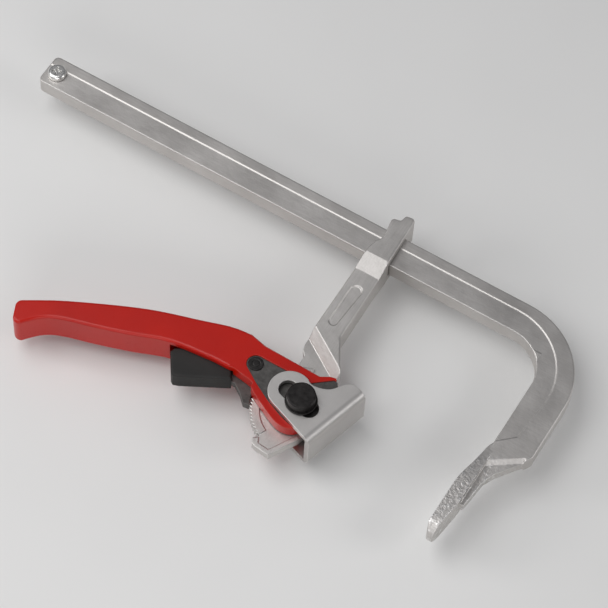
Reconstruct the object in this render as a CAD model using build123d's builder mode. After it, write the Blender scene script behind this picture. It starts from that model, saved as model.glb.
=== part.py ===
from build123d import *
import math
import os

os.makedirs("parts", exist_ok=True)

# Frame: the clamp lies flat. X is the clamping direction, from the rail's free end to the fixed arm,
# Y runs from the jaws to the rail, Z is across the rail's thickness. The origin is on the fixed
# jaw's pad face, level with the main pin and halfway through the thickness.

# ---------------------------------------------------------------- driving sizes, mm
throat = 106.0             # main pin's axis to the rail's inner edge
rail_width = 20.0
rail_thick = 11.0
free_end_reach = 338.5     # pad face back to the rail's free end
jaw_gap = 94.5             # pad face to the main pin's axis with the slide at rest
arm_setback = 5.8          # fixed arm's inner side behind the pad face
arm_width = 23.0
bend_inner = 25.0
bend_outer = 48.0
pad_half_width = 8.5
pad_thick = 8.2
pad_top = 36.0             # pad starts this far on the rail side of the pin's level
pad_tip = 29.0             # and ends this far on the other side
recess_depth = 0.32        # shallow recess rolled into both wide faces of the rail
margin_width = 6.5         # full-height margin along the rail's outer edge
arm_margin = 13.0          # the margin widens to this down the fixed arm
recess_draft = 66.0        # degrees its walls lean
collar_half = 10.5
shank_half = 7.8
head_half = 2.1            # thin head of the sliding arm
rim_half = 2.6             # toothed rim on it
tooth_tip_r = 28.0
tooth_depth = 1.3
tooth_pitch = 4.5          # degrees
pin_r = 4.0
pin_head_r = 8.1
pin_head_height = 6.0
cheek_web = 4.0            # handle metal under each cam plate
cam_thick = 3.0
plate_sheet = 3.0
plate_tilt = 16.0          # degrees the pressure plate hangs away from square
web_stand_off = 18.2       # main pin to the inside of the plate's web, as drawn
cam_rise = 0.09            # mm the plate advances per degree of lever
swivel_reach = 18.0        # degrees the plate can swivel back towards square and past it
rivet_r = 3.0
sleeve_wall = 1.5          # bush on the pin that runs in the pressure plate's slot
pawl_half = 2.6
trigger_half = 6.2
shank_recess_depth = 0.9    # long recess in the shank
shank_recess_wall = 0.75    # how far its walls slope in
edge_round = 1.0           # rolled and forged edges

# ---------------------------------------------------------------- clearances, mm
slide_clear = 0.35         # collar round the rail
running_clear = 0.06       # shafts in their bores, on the radius
side_clear = 0.3           # between bodies that pass each other
fork_clear = 0.4           # handle's fork over the toothed rim
seat_clear = 0.1           # round a piece let into its pocket
pawl_clear = 0.45          # pawl's tip above the tooth tips

# ---------------------------------------------------------------- levels and positions
half_rail = rail_thick / 2
rail_in = throat
rail_out = throat + rail_width
arm_out = arm_setback + arm_width
pin_x = -jaw_gap
fork_inner = rim_half + fork_clear
cheek_floor = fork_inner + cheek_web
cam_outer = cheek_floor + cam_thick
handle_half = cam_outer + 0.6
plate_inner = handle_half + 0.35
plate_outer = plate_inner + plate_sheet
washer_base = plate_outer + side_clear
washer_thick = 1.0
head_base = washer_base + washer_thick
spacer_thick = fork_inner - head_half - side_clear
bore_r = pin_r + running_clear
rivet_at = (-34.2, 8.6)    # rivet from the main pin


def at_pin(points):
    """Points given from the main pin, placed in the clamp's frame."""
    return [(pin_x + x, y) for x, y in points]


def polar(radius, degrees):
    angle = math.radians(degrees)
    return (radius * math.cos(angle), radius * math.sin(angle))


def cam_point(normal_angle, set_back):
    """Point of the cam's working edge whose outward normal points at normal_angle."""
    rise = cam_rise * 180 / math.pi
    reach = web_stand_off - side_clear - cam_rise * swivel_reach - set_back
    reach = reach + rise * math.radians(normal_angle + plate_tilt)
    a = math.radians(normal_angle)
    return (reach * math.cos(a) - rise * math.sin(a), reach * math.sin(a) + rise * math.cos(a))


# ---------------------------------------------------------------- rail and fixed arm
pad_root_half = half_rail - 0.2
with BuildPart() as pad:
    with BuildSketch(Plane.XY.offset(-pad_half_width)):
        with BuildLine():
            Spline(
                (arm_setback, pad_top + 2),
                (3.4, pad_top * 0.75),
                (0, 3),
                tangents=[(-0.6, -1), (0, -1)],
            )
            Line((0, 3), (0, 9 - pad_tip))
            ThreePointArc((0, 9 - pad_tip), (0.9, 3 - pad_tip), (3.2, -pad_tip))
            Line((3.2, -pad_tip), (5.2, -pad_tip))
            Line((5.2, -pad_tip), (pad_thick, -4))
            Line((pad_thick, -4), (pad_thick, pad_top + 2))
            Line((pad_thick, pad_top + 2), (arm_setback, pad_top + 2))
        make_face()
    extrude(amount=2 * pad_half_width)
    # seen along the rail the pad is a tongue: it widens from the arm's thickness to a round tip
    with BuildSketch(Plane.YZ.offset(-1)):
        with BuildLine():
            Line((pad_top + 2, 0), (pad_top + 2, pad_root_half))
            Spline(
                (pad_top + 2, pad_root_half),
                (pad_top * 0.55, (pad_root_half + pad_half_width) / 2 + 0.3),
                (pad_top * 0.22, pad_half_width),
                tangents=[(-1, 0.02), (-1, 0)],
            )
            Line((pad_top * 0.22, pad_half_width), (10 - pad_tip, pad_half_width))
            Spline(
                (10 - pad_tip, pad_half_width),
                (2.6 - pad_tip, pad_half_width * 0.66),
                (-pad_tip, 0),
                tangents=[(-1, 0), (0, -1)],
            )
            Line((-pad_tip, 0), (pad_top + 2, 0))
        make_face()
        mirror(about=Plane.XZ)
    extrude(amount=pad_thick + 2, mode=Mode.INTERSECT)

screw_x = -free_end_reach + 7.5
screw_y = rail_in + 9.0
screw_r = 3.0
rib_half = 3.0
rib_end = -3.0
recess_low = 48.0
shoulder_in = pad_top - 12
shoulder_out = pad_top + 6

with BuildPart() as rail:
    with BuildSketch(Plane.XY.offset(-half_rail)):
        with BuildLine():
            Polyline(
                (-free_end_reach, rail_in),
                (arm_setback, rail_in),
                (arm_setback, pad_top),
                (pad_thick, shoulder_in),
                (arm_out - 3, pad_top + 0.6),
                (arm_out, shoulder_out),
                (arm_out, rail_out),
                (-free_end_reach, rail_out),
                close=True,
            )
        make_face()
        fillet(vertices().sort_by_distance((arm_setback, rail_in))[0], bend_inner)
        fillet(vertices().sort_by_distance((arm_out, rail_out))[0], bend_outer)
        fillet(vertices().group_by(Axis.X)[0], 3)
    extrude(amount=rail_thick)
    rims = edges().filter_by(lambda e: abs(abs(e.center().Z) - half_rail) < 0.01)
    fillet(rims.filter_by(lambda e: e.center().Y > shoulder_out - 1), edge_round)
    slope = edges().filter_by(GeomType.LINE)
    slope = slope.filter_by(lambda e: abs(abs(e.center().Z) - half_rail) < 0.01)
    slope = slope.sort_by_distance((arm_out - 10, pad_top - 6, half_rail))[0:1] + slope.sort_by_distance(
        (arm_out - 10, pad_top - 6, -half_rail)
    )[0:1]
    chamfer(slope, half_rail - rib_half)
    with BuildSketch(Plane.XY.offset(-rib_half)):
        with BuildLine():
            Polyline(
                (pad_thick - 2, pad_top),
                (pad_thick - 2, rib_end),
                (pad_thick + 2.2, rib_end),
                (pad_thick + 4.2, shoulder_in - 8),
                (pad_thick + 7.5, shoulder_in - 1),
                (arm_out - 2, pad_top + 2.5),
                (arm_out - 2, shoulder_out + 2),
                close=True,
            )
        make_face()
    extrude(amount=2 * rib_half)
    add(pad.part)
    # shallow recess in both wide faces, open to the inner edge, round the bend and down the arm
    for level, sign in ((half_rail, -1), (-half_rail, 1)):
        with BuildSketch(Plane.XY.offset(level)):
            with BuildLine():
                Polyline(
                    (-free_end_reach - 5, rail_in - 5),
                    (arm_setback - 5, rail_in - 5),
                    (arm_setback - 5, recess_low - 14),
                    (arm_out - arm_margin, recess_low),
                    (arm_out - margin_width, rail_out - margin_width),
                    (-free_end_reach - 5, rail_out - margin_width),
                    close=True,
                )
            make_face()
            corner = vertices().sort_by_distance((arm_out - margin_width, rail_out - margin_width))[0]
            fillet(corner, bend_outer - margin_width)
        extrude(amount=sign * recess_depth, taper=recess_draft, mode=Mode.SUBTRACT)
    with Locations((screw_x, screw_y, half_rail)):
        Hole(screw_r)

# ---------------------------------------------------------------- end stop screw
screw_head_r = 5.5
screw_head_height = 3.2
with BuildPart() as end_stop_screw:
    with BuildSketch(Plane.XY.offset(-half_rail)):
        with Locations((screw_x, screw_y)):
            Circle(screw_r)
    extrude(amount=rail_thick)
    with BuildSketch(Plane.XY.offset(half_rail)):
        with Locations((screw_x, screw_y)):
            Circle(screw_head_r)
    extrude(amount=screw_head_height)
    fillet(edges().group_by(Axis.Z)[-1], 1.9)
    with BuildSketch(Plane.XY.offset(half_rail + screw_head_height)):
        with Locations((screw_x, screw_y)):
            for turn in (20, 110):
                Rectangle(5.6, 1.3, rotation=turn)
    extrude(amount=-1.8, mode=Mode.SUBTRACT)

# ---------------------------------------------------------------- sliding arm
shank_left = -20.0
shank_right = -4.6
window_gap = 1.2           # extra room between the rail's inner edge and the arm
bevel_start = rail_in - 1.3
bevel_end = rail_in - 13
slope_width = shank_half - rim_half + 0.1

tooth_first = 172.0
tooth_count = 16
rim_inner_r = 22.5
rim_start = 104.0
rim_points = [polar(rim_inner_r, rim_start + 7 * i) for i in range(21)]
outer_points = [polar(tooth_tip_r - 0.4, a) for a in range(int(rim_start), int(tooth_first), 4)]
for tooth in range(tooth_count):
    start = tooth_first + tooth * tooth_pitch
    outer_points.append(polar(tooth_tip_r - tooth_depth, start))
    outer_points.append(polar(tooth_tip_r, start + 0.2 * tooth_pitch))
    outer_points.append(polar(tooth_tip_r, start + 0.35 * tooth_pitch))
outer_points.append(polar(tooth_tip_r - tooth_depth, rim_start + 140))
rim_outline = outer_points + rim_points[::-1]

foot_outer = [(-13.8, -28), (-12.4, -31), (-9.9, -32), (-1, -32.8), (6.2, -19.9), (8.7, -15.3)]
foot_inner = [(6.4, -14), (3.8, -18.6), (-2.6, -29.8), (-9.4, -29.2), (-10.9, -26.2)]

with BuildPart() as collar:
    with BuildSketch(Plane.XY.offset(-collar_half)):
        with BuildLine():
            Polyline(
                at_pin(
                    [
                        (shank_left - 0.1, bevel_end),
                        (shank_left - 0.1, rail_in + 2),
                        (shank_left + 1.3, rail_in + 7.5),
                        (shank_left + 3.4, rail_in + 11),
                        (shank_left + 3.4, rail_in + 14),
                        (shank_left + 1.8, rail_out + 4.2),
                        (shank_left + 2.9, rail_out + 5.8),
                        (-13.3, rail_out + 6.6),
                        (-12.2, rail_out + 11),
                        (-7.8, rail_out + 11.6),
                        (shank_right - 1.6, rail_out + 10.2),
                        (shank_right - 0.4, rail_in),
                        (shank_right, bevel_end),
                    ]
                ),
                close=True,
            )
        make_face()
        waist = vertices().filter_by(lambda v: rail_in + 7 < v.Y < rail_in + 14.5 and v.X < pin_x - 15)
        fillet(waist, 2.5)
        horns = vertices().filter_by(lambda v: v.Y > rail_out + 4)
        fillet(horns, 1.0)
    extrude(amount=2 * collar_half)
    # bevel from the collar's faces down to the shank's
    with BuildSketch(Plane.YZ.offset(pin_x + shank_left - 2)):
        with BuildLine():
            Polyline(
                (bevel_start, collar_half),
                (bevel_end, shank_half),
                (bevel_end - 1, shank_half),
                (bevel_end - 1, collar_half + 1),
                (bevel_start, collar_half + 1),
                close=True,
            )
        make_face()
        mirror(about=Plane.XZ)
    extrude(amount=24, mode=Mode.SUBTRACT)
    collar_rims = edges().filter_by(lambda e: abs(e.center().Z) > collar_half - 0.01)
    fillet(collar_rims, edge_round)

# the shank, with its lower end sloping down to the thin head
with BuildPart() as shank:
    with BuildSketch(Plane.XY.offset(-shank_half)):
        with BuildLine():
            Polyline(
                at_pin(
                    [
                        (shank_left, bevel_end + 0.5),
                        (shank_left + 0.3, 42.2),
                        (7.6, 24.6),
                        (7.6, 30.0),
                        (shank_right + 0.9, 49.5),
                        (shank_right, bevel_end + 0.5),
                    ]
                ),
                close=True,
            )
        make_face()
        fillet(vertices().sort_by_distance((pin_x + shank_right + 0.9, 49.5))[0], 6)
    extrude(amount=2 * shank_half)
    ends = edges().filter_by(GeomType.LINE).filter_by(lambda e: abs(abs(e.center().Z) - shank_half) < 0.01)
    slope_mid = (pin_x - 6, 33.4)
    front_end = ends.sort_by_distance((*slope_mid, shank_half))[0:1]
    rear_end = ends.sort_by_distance((*slope_mid, -shank_half))[0:1]
    chamfer(front_end + rear_end, slope_width)
    # the slope's own upper edges, nearest its middle, stay sharp, as does the end inside the collar
    slope_top = (pin_x - 6.5, 40, 0)
    shank_rims = edges().filter_by(lambda e: abs(e.center().Z) > shank_half - 0.01)
    shank_rims = shank_rims.filter_by(lambda e: e.center().Y < bevel_end)
    fillet(shank_rims.sort_by_distance(slope_top)[2:], edge_round)

with BuildPart() as sliding_arm:
    add(collar.part)
    add(shank.part)
    # thin head
    with BuildSketch(Plane.XY.offset(-head_half)):
        with BuildLine():
            Polyline(
                at_pin(
                    [
                        (shank_left + 0.3, 47),
                        (shank_left + 0.3, 37.5),
                        (-18.8, 34.0),
                        (-16.3, 31),
                        (-15.6, 20),
                        (-22, 8),
                        (-24, -4),
                        (-22, -12),
                        (-16, -19),
                        (-11.2, -24.6),
                    ]
                    + foot_outer
                    + [(11, -8), (11, 14), (7.6, 24.6), (7.6, 29), (shank_right, 46)]
                ),
                close=True,
            )
        make_face()
    extrude(amount=2 * head_half)
    # toothed rim and the bead along the foot stand proud of the head on both sides
    with BuildSketch(Plane.XY.offset(-rim_half)):
        with BuildLine():
            Polyline(at_pin(rim_outline), close=True)
        make_face()
        with BuildLine():
            Polyline(at_pin(foot_outer + foot_inner), close=True)
        make_face()
    extrude(amount=2 * rim_half)
    # window the rail passes through
    window_low = rail_in - window_gap
    window_high = rail_out + slide_clear
    with BuildSketch(Plane.YZ.offset(pin_x + shank_left - 5)):
        with Locations(((window_low + window_high) / 2, 0)):
            Rectangle(window_high - window_low, rail_thick + 2 * slide_clear)
    extrude(amount=30, mode=Mode.SUBTRACT)
    # long tapering recess in both faces of the shank, with sloping walls
    for sign in (1, -1):
        for level, inset in ((shank_half, 0), (shank_half - shank_recess_depth, shank_recess_wall)):
            with BuildSketch(Plane.XY.offset(sign * level)):
                with Locations((pin_x - 11.9, bevel_end - 13.2)):
                    Circle(3.9 - inset)
                with Locations((pin_x - 12.6, 56.3)):
                    Circle(3.0 - inset)
                make_hull()
        loft(mode=Mode.SUBTRACT)
    with Locations((pin_x, 0, head_half)):
        Hole(pin_r)

# ---------------------------------------------------------------- main pin and what it carries
with BuildPart() as main_pin:
    with BuildSketch(Plane.XY.offset(-head_base - pin_head_height + 0.6)):
        with Locations((pin_x, 0)):
            Circle(pin_r)
    extrude(amount=2 * head_base + pin_head_height - 0.6)
    with BuildSketch(Plane.XY.offset(head_base)):
        with Locations((pin_x, 0)):
            Circle(pin_head_r)
    extrude(amount=pin_head_height)
    fillet(edges().group_by(Axis.Z)[-1], 0.8)

with BuildPart() as main_pin_rear_head:
    with BuildSketch(Plane.XY.offset(-head_base)):
        with Locations((pin_x, 0)):
            Circle(pin_head_r)
            Circle(pin_r, mode=Mode.SUBTRACT)
    extrude(amount=-pin_head_height)
    rear_rim = edges().group_by(Axis.Z)[0].sort_by(SortBy.RADIUS)[-1]
    fillet(rear_rim, 0.8)


def ring(outer_r, inner_r, base, thick):
    """Flat ring on the main pin's axis, standing from base in Z."""
    with BuildPart() as piece:
        with BuildSketch(Plane.XY.offset(base)):
            with Locations((pin_x, 0)):
                Circle(outer_r)
                Circle(inner_r, mode=Mode.SUBTRACT)
        extrude(amount=thick)
        chamfer(piece.edges().filter_by(GeomType.CIRCLE).sort_by(SortBy.RADIUS)[-2:], 0.15)
    return piece


washer_r = pin_head_r + 1.0
pin_washer_front = ring(washer_r, bore_r, washer_base, washer_thick)
pin_washer_rear = ring(washer_r, bore_r, -washer_base, -washer_thick)
spacer_washer_front = ring(pin_r + 4, bore_r, head_half, spacer_thick)
spacer_washer_rear = ring(pin_r + 4, bore_r, -head_half, -spacer_thick)

sleeve_r = pin_r + sleeve_wall
sleeve_length = washer_base - side_clear - (cam_outer + side_clear)
pin_sleeve_front = ring(sleeve_r, bore_r, cam_outer + side_clear, sleeve_length)
pin_sleeve_rear = ring(sleeve_r, bore_r, -cam_outer - side_clear, -sleeve_length)

# ---------------------------------------------------------------- pressure plate
slot_half = sleeve_r + running_clear
slot_rear = -10.1
ring_centre = -8.9
slot_front = 6.4
ring_r = 12.3
web_face = web_stand_off + plate_sheet
web_low = -14.0
bend_outside = 1.6 * plate_sheet
bend_inside = plate_inner - cam_outer - 0.1
web_high = 29.0
plate_x_dir = (math.cos(math.radians(plate_tilt)), -math.sin(math.radians(plate_tilt)), 0)


def plate_plane(level):
    """Plane across the plate's cheeks: x towards the work, origin on the main pin."""
    return Plane(origin=(pin_x, 0, level), x_dir=plate_x_dir, z_dir=(0, 0, 1))


with BuildPart() as pressure_plate:
    with BuildSketch(plate_plane(-plate_outer)):
        with BuildLine():
            Line((web_face, web_high), (web_face - 6.5, web_high))
            Spline(
                (web_face - 6.5, web_high),
                (web_face - 10.9, web_high - 1.3),
                (web_face - 13.5, web_high - 6.2),
                (5.6, 17.4),
                (1.0, 13.3),
                (ring_centre + 5.4, ring_r - 0.8),
                (ring_centre + 1.9, ring_r - 0.15),
            )
            ThreePointArc(
                (ring_centre + 1.9, ring_r - 0.15),
                (ring_centre - ring_r, 0),
                (ring_centre - 1.7, -ring_r + 0.12),
            )
            Line((ring_centre - 1.7, -ring_r + 0.12), (web_face - 4.5, web_low))
            Line((web_face - 4.5, web_low), (web_face, web_low))
            Line((web_face, web_low), (web_face, web_high))
        make_face()
    extrude(amount=2 * plate_outer)
    bends = edges().filter_by(GeomType.LINE).sort_by_distance(
        plate_plane(0).from_local_coords((web_face, 7, plate_outer))
    )[0:1] + edges().filter_by(GeomType.LINE).sort_by_distance(
        plate_plane(0).from_local_coords((web_face, 7, -plate_outer))
    )[0:1]
    fillet(bends, bend_outside)
    with BuildSketch(plate_plane(-plate_inner)):
        with Locations((web_stand_off - 30, 5)):
            Rectangle(60, 80)
    extrude(amount=2 * plate_inner, mode=Mode.SUBTRACT)
    seams = edges().filter_by(GeomType.LINE).sort_by_distance(
        plate_plane(0).from_local_coords((web_stand_off, 7, plate_inner))
    )[0:1] + edges().filter_by(GeomType.LINE).sort_by_distance(
        plate_plane(0).from_local_coords((web_stand_off, 7, -plate_inner))
    )[0:1]
    fillet(seams, bend_inside)
    with BuildSketch(plate_plane(-plate_outer)):
        with Locations(((slot_rear + slot_front) / 2, 0)):
            SlotCenterToCenter(slot_front - slot_rear, 2 * slot_half)
    extrude(amount=2 * plate_outer, mode=Mode.SUBTRACT)

# ---------------------------------------------------------------- cam plates
cam_end_r = 5.2
cam_top = rivet_at[1] + cam_end_r


def cam_outline(grow, set_back):
    """Cam plate's outline from the main pin, grown by grow round its seat."""
    front = [cam_point(a, set_back) for a in range(-60, 33, 6)]
    upper = [
        (rivet_at[0], cam_top + grow),
        (-2.5, cam_top + grow),
        (3.6, 18.9 + grow),
        (8.0, 22.5 + grow),
        (10.2, 22.4 + grow),
    ]
    lower = [
        (1.1, -14.0 - grow),
        (-6.0, -12.1 - grow),
        (-17.2, -7.4 - grow),
        (-27.9, -1.6 - grow),
        (rivet_at[0] - 2.6 - grow / 2, rivet_at[1] - 4.5 - grow),
    ]
    return upper + front[::-1] + lower


def cam_sketch(grow, set_back):
    """Face of the cam plate's outline, to add to a sketch."""
    with BuildSketch() as outline:
        with BuildLine():
            Polyline(at_pin(cam_outline(grow, set_back)), close=True)
        make_face()
        with Locations((pin_x + rivet_at[0], rivet_at[1])):
            Circle(cam_end_r + grow)
    return outline.sketch


def cam_plate(level, thick):
    with BuildPart() as piece:
        with BuildSketch(Plane.XY.offset(level)):
            add(cam_sketch(0, 0))
        extrude(amount=thick)
        with BuildSketch(Plane.XY.offset(level)):
            with Locations((pin_x, 0)):
                Circle(bore_r)
            with Locations((pin_x + rivet_at[0], rivet_at[1])):
                Circle(rivet_r)
        extrude(amount=thick, mode=Mode.SUBTRACT)
    return piece


cam_plate_front = cam_plate(cheek_floor, cam_thick)
cam_plate_rear = cam_plate(-cheek_floor, -cam_thick)

# ---------------------------------------------------------------- handle
grip_edge = 1.6
grip_corner = 4.0
pocket_half = trigger_half + 0.5
grip_start = -46.0
grip_top = [(-46, 23.5), (-58, 21.9), (-70.4, 17.9), (-97.8, 8.9), (-123.4, -2.3), (-148.2, -14.9)]
grip_top += [(-160.0, -22.0)]
grip_end = [(-168.9, -27.6), (-162.8, -41.6)]
grip_bottom = [(-158.6, -38.9), (-154.2, -33.6), (-149.5, -29.2), (-142, -25.2), (-130, -21.4), (-114, -16.4)]
grip_bottom += [(-98, -10.6), (-79.8, -4.2), (-60, -1.7), (grip_start, -1.0)]

with BuildPart() as grip:
    with BuildSketch(Plane.XY.offset(-handle_half)):
        with BuildLine():
            Spline(at_pin(grip_top), tangents=[(-1, -0.05), (-0.85, -0.53)])
            Polyline(at_pin([grip_top[-1], *grip_end, grip_bottom[0]]))
            Spline(at_pin(grip_bottom), tangents=[(0.62, 0.78), (1, 0.02)])
            Line(*at_pin([grip_bottom[-1], grip_top[0]]))
        make_face()
        for corner in at_pin(grip_end):
            fillet(vertices().sort_by_distance(corner)[0], grip_corner)
    extrude(amount=2 * handle_half)
    rims = edges().filter_by(lambda e: abs(abs(e.center().Z) - handle_half) < 0.01)
    fillet(rims.filter_by(lambda e: e.center().X < pin_x + grip_start - 1), grip_edge)

with BuildPart() as handle:
    with BuildSketch(Plane.XY.offset(-handle_half)):
        with BuildLine():
            Polyline(
                at_pin(
                    [grip_bottom[-1], grip_top[0], (-35.5, 21.2), (-6, 20.8), (0.8, 20.7), (4.8, 23.2)]
                    + [(8.3, 24.1), (9.2, 22.9)]
                    + [cam_point(a, 1.2) for a in range(29, -56, -12)]
                    + [(4.8, -14.8)]
                )
            )
            Spline(
                at_pin(
                    [(4.8, -14.8), (-3.5, -17.3), (-10.5, -15.2)]
                    + [(-17.8, -11.7), (-29.1, -4.9), (-43.2, -0.4)]
                ),
                tangents=[(-0.75, -0.6), (-0.95, 0.1)],
            )
            Line(*at_pin([(-43.2, -0.4), grip_bottom[-1]]))
        make_face()
    extrude(amount=2 * handle_half)
    crown = edges().filter_by(lambda e: abs(abs(e.center().Z) - handle_half) < 0.01 and e.center().Y > 20)
    crown = crown.filter_by(lambda e: e.length > 10)
    chamfer(crown, 0.8)
    add(grip.part)
    # fork for the arm's head and the pawl
    with BuildSketch(Plane.XY.offset(-fork_inner)):
        with BuildLine():
            Polyline(
                at_pin([(-44, -30), (-44, 15.2), (-36, 15.2), (-35, 32), (32, 32), (32, -30)]),
                close=True,
            )
        make_face()
    extrude(amount=2 * fork_inner, mode=Mode.SUBTRACT)
    # pocket the trigger moves in, open below
    with BuildSketch(Plane.XY.offset(-pocket_half)):
        with BuildLine():
            Polyline(at_pin([(-82, -20), (-82, 2), (-79, 6.2), (-43.4, 13.5), (-43.4, -20)]), close=True)
        make_face()
    extrude(amount=2 * pocket_half, mode=Mode.SUBTRACT)
    # seats for the cam plates in both cheeks, open at the front
    for level, sign in ((cheek_floor, 1), (-cheek_floor, -1)):
        with BuildSketch(Plane.XY.offset(level)):
            add(cam_sketch(seat_clear, -3))
        extrude(amount=sign * (handle_half - cheek_floor + 1), mode=Mode.SUBTRACT)
    with Locations((pin_x, 0, handle_half)):
        Hole(bore_r)
    with Locations((pin_x + rivet_at[0], rivet_at[1], handle_half)):
        Hole(rivet_r)

# ---------------------------------------------------------------- rivet through cams, cheeks and pawl
rivet_head_r = 4.4
rivet_head_height = 0.8
rivet_x = pin_x + rivet_at[0]
rivet_y = rivet_at[1]
with BuildPart() as cam_rivet:
    with BuildSketch(Plane.XY.offset(-cam_outer - rivet_head_height)):
        with Locations((rivet_x, rivet_y)):
            Circle(rivet_r)
    extrude(amount=2 * cam_outer + rivet_head_height)
    with BuildSketch(Plane.XY.offset(cam_outer)):
        with Locations((rivet_x, rivet_y)):
            Circle(rivet_head_r)
    extrude(amount=rivet_head_height)
    fillet(edges().group_by(Axis.Z)[-1], 0.4)
    with BuildSketch(Plane.XY.offset(cam_outer + rivet_head_height)):
        with Locations((rivet_x, rivet_y)):
            Circle(2.7)
            Circle(1.5, mode=Mode.SUBTRACT)
    extrude(amount=-0.45, mode=Mode.SUBTRACT)

with BuildPart() as cam_rivet_ring:
    with BuildSketch(Plane.XY.offset(-cam_outer)):
        with Locations((rivet_x, rivet_y)):
            Circle(rivet_head_r)
            Circle(rivet_r, mode=Mode.SUBTRACT)
    extrude(amount=-rivet_head_height)
    chamfer(edges().group_by(Axis.Z)[0].sort_by(SortBy.RADIUS)[-1], 0.3)

# ---------------------------------------------------------------- pawl
tip_r = tooth_tip_r + pawl_clear
pawl_tip = polar(tip_r, 204.6)
tail = [(-36, 12.4), (-57, 2.2), (-57, -5.0), (-38, -4.2)]
with BuildPart() as pawl:
    with BuildSketch(Plane.XY.offset(-pawl_half)):
        with BuildLine():
            Polyline(
                at_pin(
                    [(-39.5, 7), (-39.4, -4.6), (-34.2, -7.9), (-29.6, -12.3)]
                    + [pawl_tip, (-29.2, -4), (-29.6, 7)]
                ),
                close=True,
            )
        make_face()
        with BuildLine():
            Polyline(at_pin(tail), close=True)
        make_face()
        with Locations((rivet_x, rivet_y)):
            Circle(5.6)
            Circle(rivet_r + running_clear, mode=Mode.SUBTRACT)
    extrude(amount=2 * pawl_half)

# ---------------------------------------------------------------- trigger and its spring
spring_at = -64.0
spring_base = -4.6
spring_top = 8.4
spring_r = 2.3
spring_wire = 0.35
with BuildPart() as trigger:
    with BuildSketch(Plane.XY.offset(-trigger_half)):
        with BuildLine():
            Polyline(
                at_pin(
                    [
                        (-79.8, -7.8),
                        (-79.0, -4.8),
                        (-75.5, -2.6),
                        (-70, 0.4),
                        (-47.4, 3.6),
                        (-44.8, -0.6),
                        (-42.8, -3.0),
                        (-42.0, -4.6),
                        (-43.6, -5.6),
                        (-67.6, -18.9),
                        (-70.6, -20.0),
                        (-72.4, -18.9),
                    ]
                ),
                close=True,
            )
        make_face()
    extrude(amount=2 * trigger_half)
    faces_z = edges().filter_by(lambda e: abs(abs(e.center().Z) - trigger_half) < 0.01)
    fillet(faces_z.filter_by(lambda e: e.center().Y < -3), 1.2)
    with BuildSketch(Plane.XY.offset(-pawl_half - seat_clear)):
        with BuildLine():
            Polyline(at_pin([(-36, 14), (-57.1, 4.0), (-57.1, -5.1), (-38, -4.3), (-36, -4.3)]), close=True)
        make_face()
    extrude(amount=2 * (pawl_half + seat_clear), mode=Mode.SUBTRACT)
    with BuildSketch(Plane.XZ.offset(-spring_base)):
        with Locations((pin_x + spring_at, 0)):
            Circle(spring_r + spring_wire + 0.5)
    extrude(amount=-12, mode=Mode.SUBTRACT)

spring_height = spring_top - spring_base - 2 * spring_wire
with BuildPart() as trigger_spring:
    with BuildLine():
        coil = Helix(
            pitch=spring_height / 6,
            height=spring_height,
            radius=spring_r,
            center=(pin_x + spring_at, spring_base + spring_wire, 0),
            direction=(0, 1, 0),
        )
    with BuildSketch(Plane(origin=coil @ 0, z_dir=coil % 0)):
        Circle(spring_wire)
    sweep(path=coil, is_frenet=True)

# ---------------------------------------------------------------- files
pieces = {
    "rail": rail,
    "end_stop_screw": end_stop_screw,
    "sliding_arm": sliding_arm,
    "main_pin": main_pin,
    "main_pin_rear_head": main_pin_rear_head,
    "pin_washer_front": pin_washer_front,
    "pin_washer_rear": pin_washer_rear,
    "spacer_washer_front": spacer_washer_front,
    "spacer_washer_rear": spacer_washer_rear,
    "pin_sleeve_front": pin_sleeve_front,
    "pin_sleeve_rear": pin_sleeve_rear,
    "pressure_plate": pressure_plate,
    "handle": handle,
    "cam_plate_front": cam_plate_front,
    "cam_plate_rear": cam_plate_rear,
    "cam_rivet": cam_rivet,
    "cam_rivet_ring": cam_rivet_ring,
    "trigger": trigger,
    "pawl": pawl,
    "trigger_spring": trigger_spring,
}
for name, piece in pieces.items():
    piece.part.label = name
    export_step(piece.part, f"parts/{name}.step")
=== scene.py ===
"""F clamp: finishes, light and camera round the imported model. Metres, in the row frame."""
import math

import bmesh
import bpy
from mathutils import Matrix, Vector


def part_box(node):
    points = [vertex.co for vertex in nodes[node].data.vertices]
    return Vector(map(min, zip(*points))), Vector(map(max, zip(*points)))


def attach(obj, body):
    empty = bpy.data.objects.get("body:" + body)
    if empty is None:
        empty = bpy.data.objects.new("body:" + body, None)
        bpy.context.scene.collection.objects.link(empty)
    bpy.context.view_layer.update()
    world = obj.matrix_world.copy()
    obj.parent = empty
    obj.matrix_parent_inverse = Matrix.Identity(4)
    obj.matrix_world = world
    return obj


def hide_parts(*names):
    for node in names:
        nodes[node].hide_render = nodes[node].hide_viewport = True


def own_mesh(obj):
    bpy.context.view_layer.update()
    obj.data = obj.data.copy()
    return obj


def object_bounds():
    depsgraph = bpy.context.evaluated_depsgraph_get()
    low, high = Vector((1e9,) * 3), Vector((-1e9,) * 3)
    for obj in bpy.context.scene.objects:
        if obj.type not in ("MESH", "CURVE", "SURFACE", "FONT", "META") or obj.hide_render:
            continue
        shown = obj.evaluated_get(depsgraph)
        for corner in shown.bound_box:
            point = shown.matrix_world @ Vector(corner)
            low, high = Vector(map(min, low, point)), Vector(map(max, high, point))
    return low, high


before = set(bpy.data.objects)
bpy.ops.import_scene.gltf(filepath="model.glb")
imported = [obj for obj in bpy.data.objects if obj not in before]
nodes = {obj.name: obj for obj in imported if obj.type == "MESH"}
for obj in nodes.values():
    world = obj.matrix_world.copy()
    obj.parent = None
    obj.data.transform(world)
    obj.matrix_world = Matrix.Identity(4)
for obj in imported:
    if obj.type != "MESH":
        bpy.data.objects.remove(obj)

cad_low, cad_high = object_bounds()
bevel_samples = 8
circle = 2 * math.pi


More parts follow.
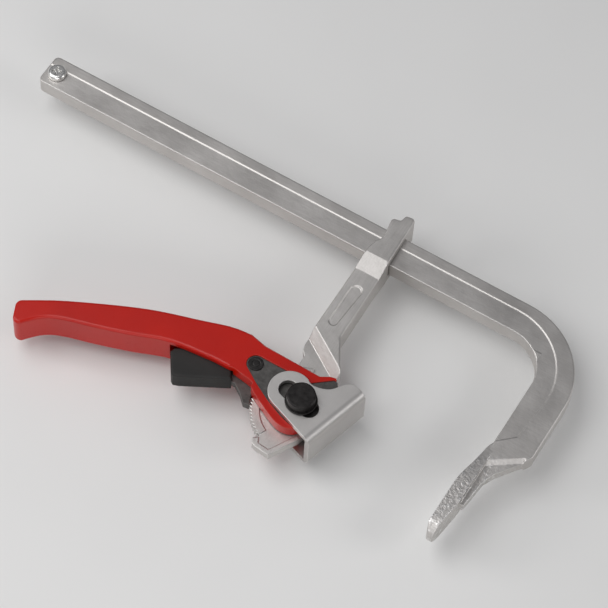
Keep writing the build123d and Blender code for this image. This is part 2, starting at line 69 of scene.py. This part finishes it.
def bearing(azimuth, elevation):
    """Unit vector from the object towards a compass bearing and a height in degrees."""
    a, e = math.radians(azimuth), math.radians(elevation)
    return Vector((math.sin(a) * math.cos(e), -math.cos(a) * math.cos(e), math.sin(e)))


# ---------------------------------------------------------------- node helpers
class Shader:
    """A material's node tree, with short calls for what repeats."""

    def __init__(self, name):
        self.mat = bpy.data.materials.new(name)
        self.mat.use_nodes = True
        self.tree = self.mat.node_tree
        self.tree.nodes.clear()
        self.out = self.tree.nodes.new("ShaderNodeOutputMaterial")
        self.bsdf = self.tree.nodes.new("ShaderNodeBsdfPrincipled")
        self.link(self.bsdf.outputs[0], self.out.inputs["Surface"])
        self.place = self.tree.nodes.new("ShaderNodeTexCoord").outputs["Object"]

    def link(self, a, b):
        self.tree.links.new(a, b)

    def feed(self, socket, value):
        """Link a node's output to the socket, or set a plain value on it."""
        if isinstance(value, bpy.types.NodeSocket):
            self.link(value, socket)
        else:
            socket.default_value = value

    def stretched(self, scale):
        """The object's own coordinates, drawn out along the axes whose scale is small."""
        n = self.tree.nodes.new("ShaderNodeMapping")
        n.inputs["Scale"].default_value = scale
        self.link(self.place, n.inputs["Vector"])
        return n.outputs["Vector"]

    def noise(self, scale, detail, rough, where=None):
        n = self.tree.nodes.new("ShaderNodeTexNoise")
        n.inputs["Scale"].default_value = scale
        n.inputs["Detail"].default_value = detail
        n.inputs["Roughness"].default_value = rough
        self.link(where or self.place, n.inputs["Vector"])
        return n.outputs["Fac"]

    def level(self, axis):
        """The place along one axis, in metres."""
        n = self.tree.nodes.new("ShaderNodeSeparateXYZ")
        self.link(self.place, n.inputs[0])
        return n.outputs[axis]

    def remap(self, value, low, high, to_low=0.0, to_high=1.0):
        """Spread low to high over to_low to to_high, clamped at both ends."""
        n = self.tree.nodes.new("ShaderNodeMapRange")
        n.clamp = True
        self.link(value, n.inputs["Value"])
        n.inputs["From Min"].default_value = low
        n.inputs["From Max"].default_value = high
        n.inputs["To Min"].default_value = to_low
        n.inputs["To Max"].default_value = to_high
        return n.outputs["Result"]

    def math(self, kind, a, b):
        n = self.tree.nodes.new("ShaderNodeMath")
        n.operation = kind
        self.feed(n.inputs[0], a)
        self.feed(n.inputs[1], b)
        return n.outputs[0]

    def mix(self, factor, a, b):
        n = self.tree.nodes.new("ShaderNodeMix")
        n.data_type = "RGBA"
        self.feed(n.inputs["Factor"], factor)
        for socket, value in ((n.inputs["A"], a), (n.inputs["B"], b)):
            self.feed(socket, (*value, 1.0) if isinstance(value, tuple) else value)
        return n.outputs["Result"]

    def edge(self, radius):
        """1 on the sharp edges of a piece, 0 on its faces."""
        plain = self.tree.nodes.new("ShaderNodeNewGeometry")
        dot = self.tree.nodes.new("ShaderNodeVectorMath")
        dot.operation = "DOT_PRODUCT"
        self.link(self.bevel(radius), dot.inputs[0])
        self.link(plain.outputs["Normal"], dot.inputs[1])
        return self.remap(self.math("SUBTRACT", 1.0, dot.outputs["Value"]), 0.02, 0.25)

    def bevel(self, radius):
        """Normals rounded over the piece's edges."""
        soft = self.tree.nodes.new("ShaderNodeBevel")
        soft.samples = bevel_samples
        soft.inputs["Radius"].default_value = radius
        return soft.outputs["Normal"]

    def bump(self, height, distance, strength, normal=None):
        n = self.tree.nodes.new("ShaderNodeBump")
        n.inputs["Distance"].default_value = distance
        n.inputs["Strength"].default_value = strength
        self.link(height, n.inputs["Height"])
        if normal is not None:
            self.link(normal, n.inputs["Normal"])
        return n.outputs["Normal"]

    def finish(self, color, rough, normal, metallic=0.0, **fixed):
        """Feed the shader. What is the same all over is set on its own sockets, by name."""
        self.feed(self.bsdf.inputs["Base Color"], color)
        self.feed(self.bsdf.inputs["Roughness"], rough)
        self.bsdf.inputs["Metallic"].default_value = metallic
        self.link(normal, self.bsdf.inputs["Normal"])
        for name, value in fixed.items():
            self.bsdf.inputs[name.replace("_", " ")].default_value = value
        return self.mat


# ---------------------------------------------------------------- finishes
def plated_forging(name, along, cast_below=None):
    """Satin plated forging: soft pebbling, faint draw marks, brighter rubbed edges.

    Below cast_below, in Y, the skin is left rough from the die, and its high spots are painted lighter,
    partly as rubbed wear and partly as a painted highlight.
    """
    s = Shader(name)
    pebble = s.noise(900, 3, 0.6)
    orange = s.noise(260, 2, 0.5)
    cloud = s.noise(38, 5, 0.6)
    marks = s.noise(1500, 3, 0.6, s.stretched(along))
    worn = s.edge(0.0009)
    color = s.mix(s.remap(cloud, 0.3, 0.7), (0.585, 0.56, 0.54), (0.70, 0.675, 0.655))
    color = s.mix(s.remap(marks, 0.35, 0.75, 0.0, 0.35), color, (0.46, 0.445, 0.42))
    color = s.mix(s.math("MULTIPLY", worn, 0.7), color, (0.83, 0.82, 0.80))
    rough = s.remap(cloud, 0.3, 0.7, 0.42, 0.54)
    rough = s.math("SUBTRACT", rough, s.math("MULTIPLY", worn, 0.12))
    normal = s.bump(orange, 0.0002, 0.5, s.bevel(0.0007))
    normal = s.bump(pebble, 0.00008, 0.6, normal)
    normal = s.bump(marks, 0.00003, 0.35, normal)
    if cast_below is not None:
        lumps = s.noise(430, 4, 0.6)
        rough_zone = s.remap(s.level("Y"), cast_below, cast_below - 0.014)
        normal = s.bump(s.math("MULTIPLY", lumps, rough_zone), 0.0008, 0.75, normal)
        # high spots of the rough zone painted lighter: rubbed wear, and a painted highlight
        worn_and_highlight_spots = s.math("MULTIPLY", rough_zone, s.remap(lumps, 0.52, 0.68))
        color = s.mix(s.math("MULTIPLY", worn_and_highlight_spots, 0.75), color, (0.88, 0.87, 0.86))
        rough = s.math("SUBTRACT", rough, s.math("MULTIPLY", worn_and_highlight_spots, 0.2))
    return s.finish(color, rough, normal, metallic=1.0)


def plate_steel(name):
    """Pressed sheet: fine, even grain under bright plating."""
    s = Shader(name)
    grain = s.noise(2200, 3, 0.65)
    fine = s.noise(1300, 4, 0.6, s.stretched((1.0, 1.0, 0.15)))
    cloud = s.noise(45, 4, 0.6)
    worn = s.edge(0.0007)
    color = s.mix(s.remap(cloud, 0.3, 0.7), (0.56, 0.54, 0.525), (0.64, 0.62, 0.605))
    color = s.mix(s.math("MULTIPLY", worn, 0.6), color, (0.87, 0.86, 0.84))
    rough = s.remap(grain, 0.3, 0.7, 0.42, 0.54)
    normal = s.bump(grain, 0.00006, 0.6, s.bevel(0.0004))
    normal = s.bump(fine, 0.00002, 0.4, normal)
    return s.finish(color, rough, normal, metallic=1.0)


def paint(name, base, deep):
    """Powder coat: slight orange peel, a lighter red rubbed along the edges."""
    s = Shader(name)
    peel = s.noise(420, 3, 0.5)
    fine = s.noise(1700, 2, 0.5)
    cloud = s.noise(30, 3, 0.5)
    worn = s.edge(0.0006)
    color = s.mix(s.remap(cloud, 0.3, 0.7), base, deep)
    color = s.mix(s.math("MULTIPLY", worn, 0.35), color, (0.68, 0.12, 0.06))
    rough = s.remap(fine, 0.3, 0.7, 0.27, 0.36)
    normal = s.bump(peel, 0.00007, 0.5, s.bevel(0.0006))
    normal = s.bump(fine, 0.00001, 0.4, normal)
    gloss = {"Specular_IOR_Level": 0.36, "Coat_Weight": 0.12, "Coat_Roughness": 0.22}
    return s.finish(color, rough, normal, **gloss)


def dark_steel(name, low, high, rough_low, rough_high, rubbed):
    """Blackened steel: mottled oxide with rubbed, lighter edges."""
    s = Shader(name)
    mottle = s.noise(320, 5, 0.65)
    fine = s.noise(1800, 3, 0.6)
    worn = s.edge(0.0005)
    color = s.mix(s.remap(mottle, 0.35, 0.7), low, high)
    color = s.mix(s.math("MULTIPLY", worn, 0.7), color, rubbed)
    rough = s.remap(mottle, 0.3, 0.7, rough_low, rough_high)
    normal = s.bump(fine, 0.00003, 0.5, s.bevel(0.0003))
    return s.finish(color, rough, normal, metallic=0.75)


def moulded(name):
    """Moulded plastic with a fine spark-eroded texture."""
    s = Shader(name)
    spark = s.noise(1900, 3, 0.7)
    cloud = s.noise(60, 3, 0.5)
    color = s.mix(s.remap(cloud, 0.3, 0.7), (0.012, 0.0115, 0.011), (0.022, 0.021, 0.020))
    rough = s.remap(spark, 0.3, 0.7, 0.5, 0.66)
    normal = s.bump(spark, 0.00004, 0.55, s.bevel(0.0004))
    return s.finish(color, rough, normal, Specular_IOR_Level=0.35)


def bright_steel(name, along, tint):
    """Zinc-plated or drawn steel with fine turning marks."""
    s = Shader(name)
    marks = s.noise(2500, 3, 0.6, s.stretched(along))
    cloud = s.noise(150, 3, 0.6)
    worn = s.edge(0.0004)
    color = s.mix(s.remap(cloud, 0.3, 0.7), tint, tuple(0.88 * c for c in tint))
    color = s.mix(s.math("MULTIPLY", worn, 0.6), color, (0.9, 0.89, 0.87))
    rough = s.remap(marks, 0.3, 0.7, 0.22, 0.36)
    normal = s.bump(marks, 0.00002, 0.5, s.bevel(0.0003))
    return s.finish(color, rough, normal, metallic=1.0)


finishes = {
    "rail": plated_forging("rail_plating", (0.05, 1.0, 1.0), cast_below=0.036),
    "sliding_arm": plated_forging("arm_plating", (1.0, 0.08, 1.0)),
    "pressure_plate": plate_steel("sheet_plating"),
    "handle": paint("red_powder_coat", (0.49, 0.006, 0.0), (0.42, 0.004, 0.0)),
    "trigger": moulded("trigger_plastic"),
    "end_stop_screw": bright_steel("screw_zinc", (1.0, 1.0, 0.2), (0.86, 0.85, 0.83)),
    "trigger_spring": bright_steel("drawn_wire", (1.0, 1.0, 1.0), (0.55, 0.54, 0.52)),
}
black = dark_steel("black_oxide", low=(0.02, 0.018, 0.018), high=(0.042, 0.039, 0.038),
                   rough_low=0.34, rough_high=0.5, rubbed=(0.11, 0.105, 0.10))
cams = dark_steel("hardened_steel", low=(0.085, 0.08, 0.077), high=(0.14, 0.133, 0.128),
                  rough_low=0.4, rough_high=0.55, rubbed=(0.25, 0.24, 0.23))
washers = bright_steel("washer_steel", (1.0, 1.0, 1.0), (0.42, 0.41, 0.4))
for name in ("main_pin", "main_pin_rear_head", "pin_washer_front", "pin_washer_rear",
             "pin_sleeve_front", "pin_sleeve_rear", "cam_rivet", "cam_rivet_ring"):
    finishes[name] = black
for name in ("cam_plate_front", "cam_plate_rear", "pawl"):
    finishes[name] = cams
for name in ("spacer_washer_front", "spacer_washer_rear"):
    finishes[name] = washers

for name, obj in nodes.items():
    for index in range(max(1, len(obj.material_slots))):
        if index < len(obj.material_slots):
            obj.material_slots[index].material = finishes[name]
        else:
            obj.data.materials.append(finishes[name])


# ---------------------------------------------------------------- trigger spring
def coil_spring(name, low, high, wire_r, turns):
    """Round-wire compression spring along Y that fills the box low to high, with closed end turns."""
    middle_x, middle_z = (low.x + high.x) / 2, (low.z + high.z) / 2
    coil_r = (high.z - low.z) / 2 - wire_r
    bottom, height = low.y + wire_r, high.y - low.y - 2 * wire_r
    closed_rise = 2.3 * wire_r
    sides, steps = 12, 32
    centres = []
    for i in range(turns * steps + 1):
        turn = i / steps
        if turn < 1:
            rise = closed_rise * turn
        elif turn > turns - 1:
            rise = height - closed_rise * (turns - turn)
        else:
            rise = closed_rise + (height - 2 * closed_rise) * (turn - 1) / (turns - 2)
        out = Vector((math.cos(circle * turn), 0, math.sin(circle * turn)))
        centres.append((Vector((middle_x, bottom + rise, middle_z)) + out * coil_r, out))
    verts = []
    for i, (point, out) in enumerate(centres):
        ahead = centres[min(i + 1, len(centres) - 1)][0] - centres[max(i - 1, 0)][0]
        up = ahead.cross(out).normalized()
        for k in range(sides):
            around = circle * k / sides
            verts.append(point + (out * math.cos(around) + up * math.sin(around)) * wire_r)
    faces = [tuple(range(sides)), tuple(range(len(verts) - 1, len(verts) - sides - 1, -1))]
    for i in range(len(centres) - 1):
        for k in range(sides):
            a, b = i * sides + k, i * sides + (k + 1) % sides
            faces.append((a, a + sides, b + sides, b))
    coil_mesh = bpy.data.meshes.new(name)
    coil_mesh.from_pydata([tuple(v) for v in verts], [], faces)
    work = bmesh.new()
    work.from_mesh(coil_mesh)
    bmesh.ops.recalc_face_normals(work, faces=work.faces)
    work.to_mesh(coil_mesh)
    work.free()
    for face in coil_mesh.polygons:
        face.use_smooth = len(face.vertices) == 4
    coil = bpy.data.objects.new(name, coil_mesh)
    bpy.context.scene.collection.objects.link(coil)
    return coil


# its foot stands on the trigger, which rises and swings back when pulled, and its top stays put
spring_low, spring_high = (Vector(corner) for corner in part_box("trigger_spring"))
spring = coil_spring("trigger_coil", spring_low, spring_high, wire_r=0.00035, turns=6)
spring.data.materials.append(finishes["trigger_spring"])
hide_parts("trigger_spring")
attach(spring, "lever")
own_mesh(spring)

# ---------------------------------------------------------------- floor, light and camera
centre = (cad_low + cad_high) / 2


def floor_material():
    s = Shader("pale_floor")
    tone = s.noise(6, 3, 0.5)
    color = s.mix(s.remap(tone, 0.3, 0.7), (0.78, 0.775, 0.765), (0.81, 0.805, 0.795))
    normal = s.bump(s.noise(700, 3, 0.6), 0.00004, 0.3)
    return s.finish(color, 0.75, normal)


floor_half = 6.0
mesh = bpy.data.meshes.new("floor")
corners = [(x * floor_half, y * floor_half, cad_low.z) for x, y in ((-1, -1), (1, -1), (1, 1), (-1, 1))]
mesh.from_pydata(corners, [], [(0, 1, 2, 3)])
mesh.materials.append(floor_material())
floor = bpy.data.objects.new("floor", mesh)
bpy.context.scene.collection.objects.link(floor)


def softbox(name, azimuth, elevation, distance, size, power):
    """Area light looking at the object's middle from a bearing round it."""
    back = bearing(azimuth, elevation)
    data = bpy.data.lights.new(name, "AREA")
    data.shape = "RECTANGLE"
    data.size, data.size_y = size
    data.energy = power
    lamp = bpy.data.objects.new(name, data)
    lamp.location = centre + back * distance
    lamp.rotation_mode = "QUATERNION"
    lamp.rotation_quaternion = (-back).to_track_quat("-Z", "Y")
    bpy.context.scene.collection.objects.link(lamp)


softbox("overhead", -60, 66, 1.4, (1.3, 0.9), 9.3)
softbox("low_left", -64, 32, 1.2, (0.5, 0.35), 2.8)
softbox("front", 25, 22, 1.6, (1.2, 0.5), 6.6)
softbox("right", 105, 25, 1.4, (0.5, 0.5), 3.2)

world = bpy.data.worlds.new("studio")
world.use_nodes = True
background = world.node_tree.nodes["Background"]
background.inputs["Color"].default_value = (0.95, 0.96, 1.0, 1)
background.inputs["Strength"].default_value = 0.21
bpy.context.scene.world = world

camera_data = bpy.data.cameras.new("camera")
camera_data.lens = 168.3
camera_data.sensor_width = 36.0
camera_azimuth, camera_elevation, camera_roll = 27.62, 59.40, 4.02
camera_distance = 1.6029
aim = Vector((-0.1288, 0.0610, 0.0))
back = bearing(camera_azimuth, camera_elevation)
camera = bpy.data.objects.new("camera", camera_data)
camera.rotation_mode = "QUATERNION"
camera.location = aim + back * camera_distance
turn = (-back).to_track_quat("-Z", "Y").to_matrix() @ Matrix.Rotation(math.radians(camera_roll), 3, "Z")
camera.rotation_quaternion = turn.to_quaternion()
bpy.context.scene.collection.objects.link(camera)
bpy.context.scene.camera = camera
bpy.context.scene.view_settings.view_transform = "Standard"
